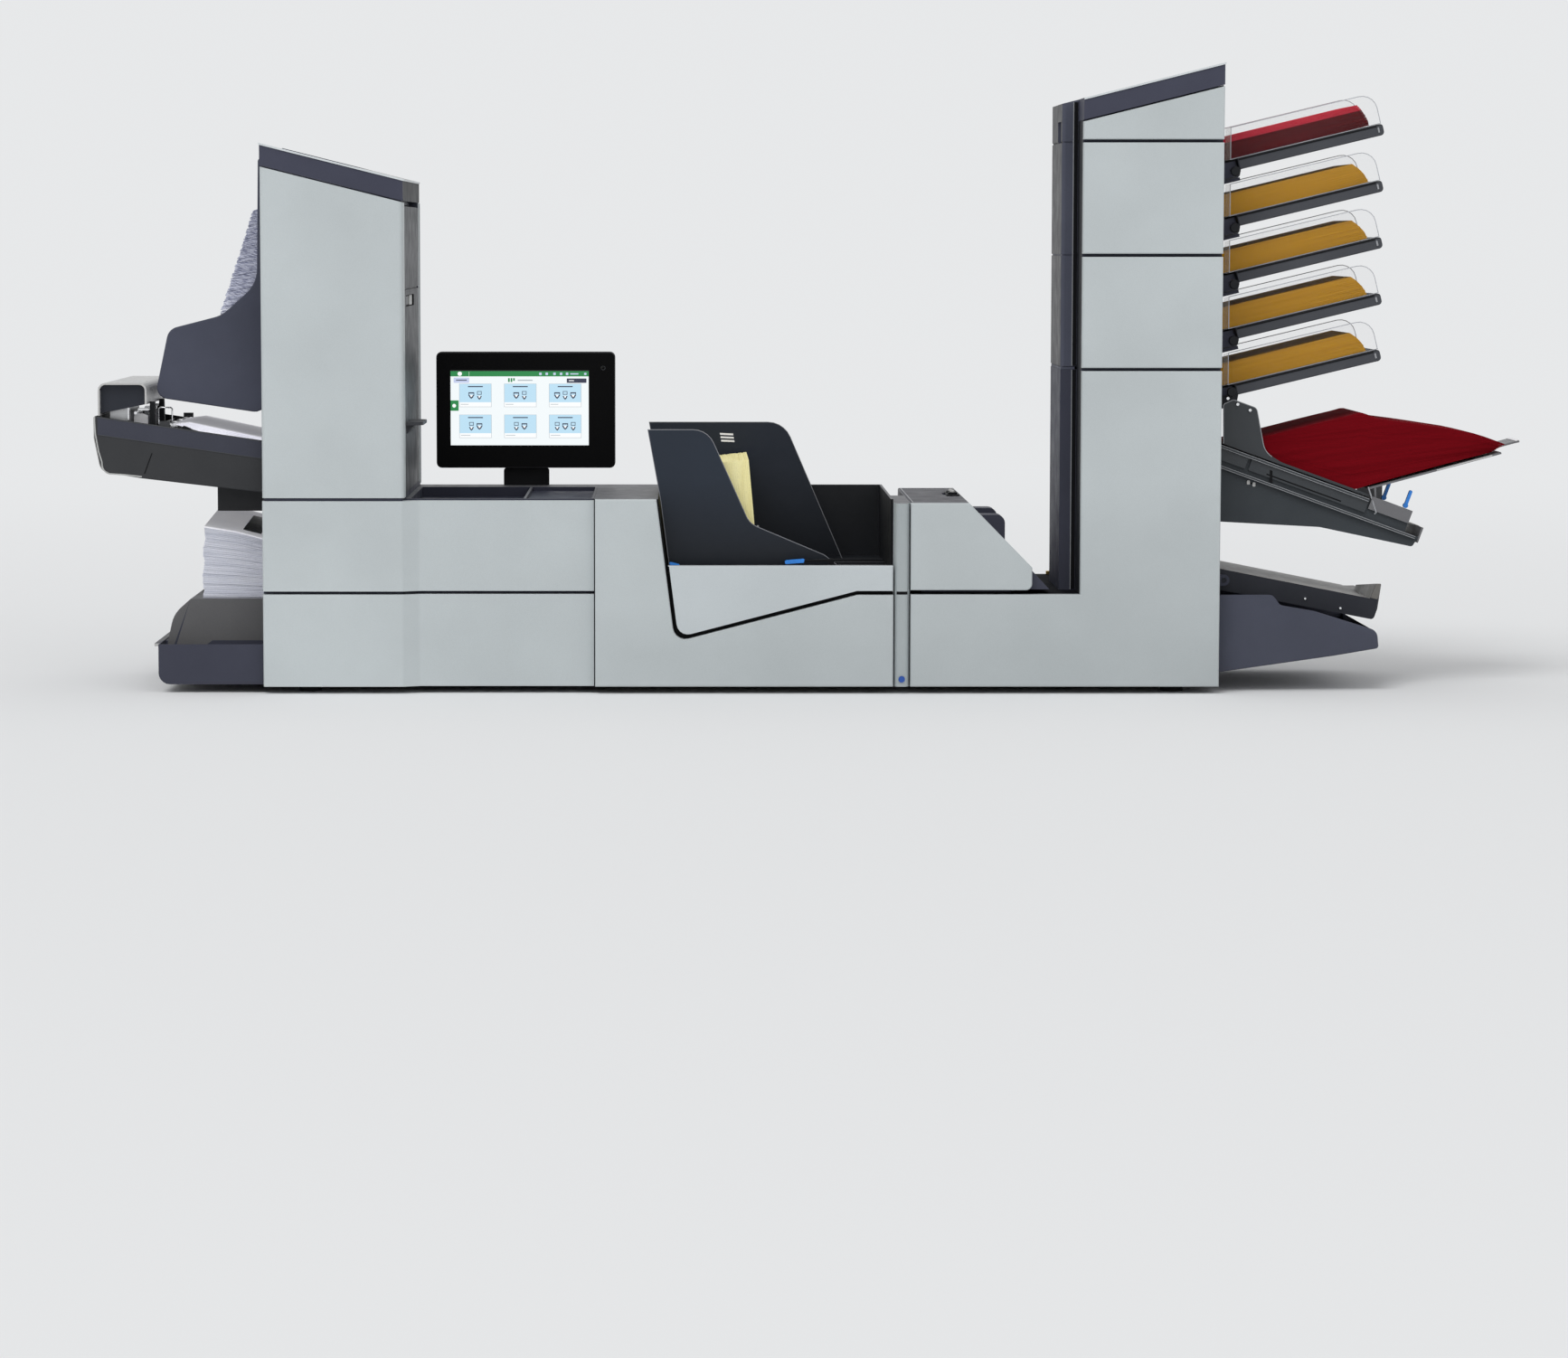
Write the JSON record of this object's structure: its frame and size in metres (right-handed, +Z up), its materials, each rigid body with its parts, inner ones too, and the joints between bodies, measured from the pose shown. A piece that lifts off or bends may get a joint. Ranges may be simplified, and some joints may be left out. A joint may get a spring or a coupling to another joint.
{
  "type": "folder inserter",
  "caption": "Long desk machine that gathers sheets from a tower of feed trays, folds them and inserts them into envelopes, with a touch screen on its low deck.",
  "frame": {"origin": "centre of the bounding box at the level of the feet's undersides", "axes": "+X to the operator's right along the machine, +Y from the operator to the back, +Z up"},
  "size_m": [2.3092, 0.4626, 0.9976],
  "materials": {
    "panel_light": "fine satin texture",
    "plastic_dark": "satin",
    "plastic_black": "satin",
    "clear_plastic": "clear, slightly smoked",
    "rubber_black": "matt",
    "lever_blue": "gloss",
    "display": "gloss",
    "steel_satin": "satin",
    "steel_bright": "bright"
  },
  "bodies": {
    "machine": {"left_frame": "plastic_dark", "centre_frame": "plastic_black", "right_frame": "plastic_dark", "foot_1": "rubber_black", "foot_2": "rubber_black", "foot_3": "rubber_black", "foot_4": "rubber_black", "left_tower_cover": "panel_light", "left_tower_cap": "plastic_dark", "left_upper_panel": "panel_light", "left_lower_panel": "panel_light", "centre_panel": "panel_light", "column_cover": "panel_light", "right_l_panel": "panel_light", "tower_panel_lower": "panel_light", "tower_panel_upper": "panel_light", "tower_cap_panel": "panel_light", "right_tower_cap": "plastic_dark", "feeder_frame": "plastic_dark", "delivery_housing": "plastic_dark", "sheet_bin": "plastic_dark", "exit_unit": "plastic_black", "stacker_tray": "plastic_dark"},
    "left_door": {"left_tower_door": "plastic_dark"},
    "screen_stand": {"screen_neck": "plastic_black"},
    "screen": {"screen_housing": "plastic_black", "screen_glass": "display"},
    "pocket_door": {"pocket_panel": "panel_light"},
    "front_guide": {"hopper_front_guide": "plastic_black"},
    "rear_guide": {"hopper_rear_guide": "plastic_black"},
    "lever_left": {"hopper_lever_left": "lever_blue"},
    "lever_right": {"hopper_lever_right": "lever_blue"},
    "button": {"column_button": "lever_blue"},
    "fold_lid": {"fold_front_panel": "panel_light", "fold_cover": "plastic_dark"},
    "upper_roller": {"fold_roller_1": "rubber_black"},
    "lower_roller": {"fold_roller_2": "rubber_black"},
    "right_door": {"right_tower_door": "plastic_dark"},
    "tray_1": {"tray_1_base": "plastic_dark"},
    "tray_1_front": {"tray_1_front_guide": "clear_plastic"},
    "tray_1_rear": {"tray_1_rear_guide": "clear_plastic"},
    "tray_2": {"tray_2_base": "plastic_dark"},
    "tray_2_front": {"tray_2_front_guide": "clear_plastic"},
    "tray_2_rear": {"tray_2_rear_guide": "clear_plastic"},
    "tray_3": {"tray_3_base": "plastic_dark"},
    "tray_3_front": {"tray_3_front_guide": "clear_plastic"},
    "tray_3_rear": {"tray_3_rear_guide": "clear_plastic"},
    "tray_4": {"tray_4_base": "plastic_dark"},
    "tray_4_front": {"tray_4_front_guide": "clear_plastic"},
    "tray_4_rear": {"tray_4_rear_guide": "clear_plastic"},
    "tray_5": {"tray_5_base": "plastic_dark"},
    "tray_5_front": {"tray_5_front_guide": "clear_plastic"},
    "tray_5_rear": {"tray_5_rear_guide": "clear_plastic"},
    "saddle": {"feeder_saddle": "steel_satin"},
    "feeder_guide": {"feeder_side_guide": "plastic_dark"},
    "saddle_lever_1": {"feeder_lever_1": "lever_blue"},
    "saddle_lever_2": {"feeder_lever_2": "lever_blue"},
    "delivery_table": {"delivery_deck": "plastic_black"},
    "exit_feed_roller": {"exit_roller": "steel_bright"},
    "hood": {"exit_hood": "steel_satin"}
  },
  "joints": [
    {"name": "left_door_swing", "type": "hinge", "parent": "machine", "child": "left_door", "pos_m": [-0.65497, 0.18725, 0.545], "axis": [0, 0, 1], "range_deg": [0, 40]},
    {"name": "screen_swivel", "type": "hinge", "parent": "machine", "child": "screen_stand", "pos_m": [-0.47597, 0.21625, 0.309], "axis": [0, 0, 1], "range_deg": [-12, 12]},
    {"name": "screen_tilt", "type": "hinge", "parent": "screen_stand", "child": "screen", "pos_m": [-0.47597, 0.21625, 0.352], "axis": [-1, 0, 0], "range_deg": [-3, 20]},
    {"name": "pocket_door_swing", "type": "hinge", "parent": "machine", "child": "pocket_door", "pos_m": [0.12044, -0.22875, 0.146], "axis": [0, 0, 1], "range_deg": [0, 90]},
    {"name": "front_guide_slide", "type": "slide", "parent": "machine", "child": "front_guide", "axis": [0, -1, 0], "range_m": [0, 0.015]},
    {"name": "rear_guide_slide", "type": "slide", "parent": "machine", "child": "rear_guide", "axis": [0, 1, 0], "range_m": [0, 0.015]},
    {"name": "lever_left_lift", "type": "hinge", "parent": "machine", "child": "lever_left", "pos_m": [-0.22367, -0.19675, 0.1953], "axis": [0, 1, 0], "range_deg": [0, 25]},
    {"name": "lever_right_lift", "type": "hinge", "parent": "machine", "child": "lever_right", "pos_m": [0.02404, -0.19975, 0.1953], "axis": [0, 1, 0], "range_deg": [0, 25]},
    {"name": "button_press", "type": "slide", "parent": "machine", "child": "button", "axis": [0, 1, 0], "range_m": [0, 0.002], "stiffness_N_per_m": 400, "springref_m": -0.001},
    {"name": "fold_lid_lift", "type": "hinge", "parent": "machine", "child": "fold_lid", "pos_m": [0.25904, 0.23125, 0.165], "axis": [-1, 0, 0], "range_deg": [0, 75]},
    {"name": "upper_roller_spin", "type": "hinge", "parent": "machine", "child": "upper_roller", "pos_m": [0.22843, 0.01025, 0.2413], "axis": [0, 1, 0], "continuous": true},
    {"name": "lower_roller_spin", "type": "hinge", "parent": "machine", "child": "lower_roller", "pos_m": [0.22843, 0.01025, 0.2107], "axis": [0, 1, 0], "continuous": true},
    {"name": "right_door_swing", "type": "hinge", "parent": "machine", "child": "right_door", "pos_m": [0.39193, 0.07125, 0.7], "axis": [0, 0, -1], "range_deg": [0, 80]},
    {"name": "tray_1_pull", "type": "slide", "parent": "machine", "child": "tray_1", "axis": [0.9724, 0, 0.2334], "range_m": [0, 0.03]},
    {"name": "tray_1_front_slide", "type": "slide", "parent": "tray_1", "child": "tray_1_front", "axis": [0, -1, 0], "range_m": [0, 0.007]},
    {"name": "tray_1_rear_slide", "type": "slide", "parent": "tray_1", "child": "tray_1_rear", "axis": [0, 1, 0], "range_m": [0, 0.007]},
    {"name": "tray_2_pull", "type": "slide", "parent": "machine", "child": "tray_2", "axis": [0.9724, 0, 0.2334], "range_m": [0, 0.03]},
    {"name": "tray_2_front_slide", "type": "slide", "parent": "tray_2", "child": "tray_2_front", "axis": [0, -1, 0], "range_m": [0, 0.007]},
    {"name": "tray_2_rear_slide", "type": "slide", "parent": "tray_2", "child": "tray_2_rear", "axis": [0, 1, 0], "range_m": [0, 0.007]},
    {"name": "tray_3_pull", "type": "slide", "parent": "machine", "child": "tray_3", "axis": [0.9724, 0, 0.2334], "range_m": [0, 0.03]},
    {"name": "tray_3_front_slide", "type": "slide", "parent": "tray_3", "child": "tray_3_front", "axis": [0, -1, 0], "range_m": [0, 0.007]},
    {"name": "tray_3_rear_slide", "type": "slide", "parent": "tray_3", "child": "tray_3_rear", "axis": [0, 1, 0], "range_m": [0, 0.007]},
    {"name": "tray_4_pull", "type": "slide", "parent": "machine", "child": "tray_4", "axis": [0.9724, 0, 0.2334], "range_m": [0, 0.03]},
    {"name": "tray_4_front_slide", "type": "slide", "parent": "tray_4", "child": "tray_4_front", "axis": [0, -1, 0], "range_m": [0, 0.007]},
    {"name": "tray_4_rear_slide", "type": "slide", "parent": "tray_4", "child": "tray_4_rear", "axis": [0, 1, 0], "range_m": [0, 0.007]},
    {"name": "tray_5_pull", "type": "slide", "parent": "machine", "child": "tray_5", "axis": [0.9724, 0, 0.2334], "range_m": [0, 0.03]},
    {"name": "tray_5_front_slide", "type": "slide", "parent": "tray_5", "child": "tray_5_front", "axis": [0, -1, 0], "range_m": [0, 0.007]},
    {"name": "tray_5_rear_slide", "type": "slide", "parent": "tray_5", "child": "tray_5_rear", "axis": [0, 1, 0], "range_m": [0, 0.007]},
    {"name": "saddle_slide", "type": "slide", "parent": "machine", "child": "saddle", "axis": [0.9397, 0, -0.342], "range_m": [0, 0.022]},
    {"name": "feeder_guide_slide", "type": "slide", "parent": "machine", "child": "feeder_guide", "axis": [0, -1, 0], "range_m": [0, 0.006]},
    {"name": "saddle_lever_1_turn", "type": "hinge", "parent": "saddle", "child": "saddle_lever_1", "pos_m": [0.95312, -0.09475, 0.29215], "axis": [0, 1, 0], "range_deg": [0, 25]},
    {"name": "saddle_lever_2_turn", "type": "hinge", "parent": "saddle", "child": "saddle_lever_2", "pos_m": [0.9362, 0.02525, 0.29831], "axis": [0, 1, 0], "range_deg": [0, 25]},
    {"name": "delivery_table_lift", "type": "hinge", "parent": "machine", "child": "delivery_table", "pos_m": [0.65543, 0.00125, 0.175], "axis": [0, -1, 0], "range_deg": [0, 12]},
    {"name": "exit_roller_spin", "type": "hinge", "parent": "machine", "child": "exit_feed_roller", "pos_m": [-1.04096, 0.01625, 0.41733], "axis": [0, 1, 0], "continuous": true},
    {"name": "hood_lift", "type": "hinge", "parent": "machine", "child": "hood", "pos_m": [-1.14697, 0.02125, 0.4398], "axis": [0, -1, 0], "range_deg": [0, 88]}
  ],
  "couplings": [
    {"joint": "rear_guide_slide", "follows": "front_guide_slide", "ratio": 1},
    {"joint": "lower_roller_spin", "follows": "upper_roller_spin", "ratio": -1},
    {"joint": "tray_1_rear_slide", "follows": "tray_1_front_slide", "ratio": 1},
    {"joint": "tray_2_rear_slide", "follows": "tray_2_front_slide", "ratio": 1},
    {"joint": "tray_3_rear_slide", "follows": "tray_3_front_slide", "ratio": 1},
    {"joint": "tray_4_rear_slide", "follows": "tray_4_front_slide", "ratio": 1},
    {"joint": "tray_5_rear_slide", "follows": "tray_5_front_slide", "ratio": 1}
  ]
}
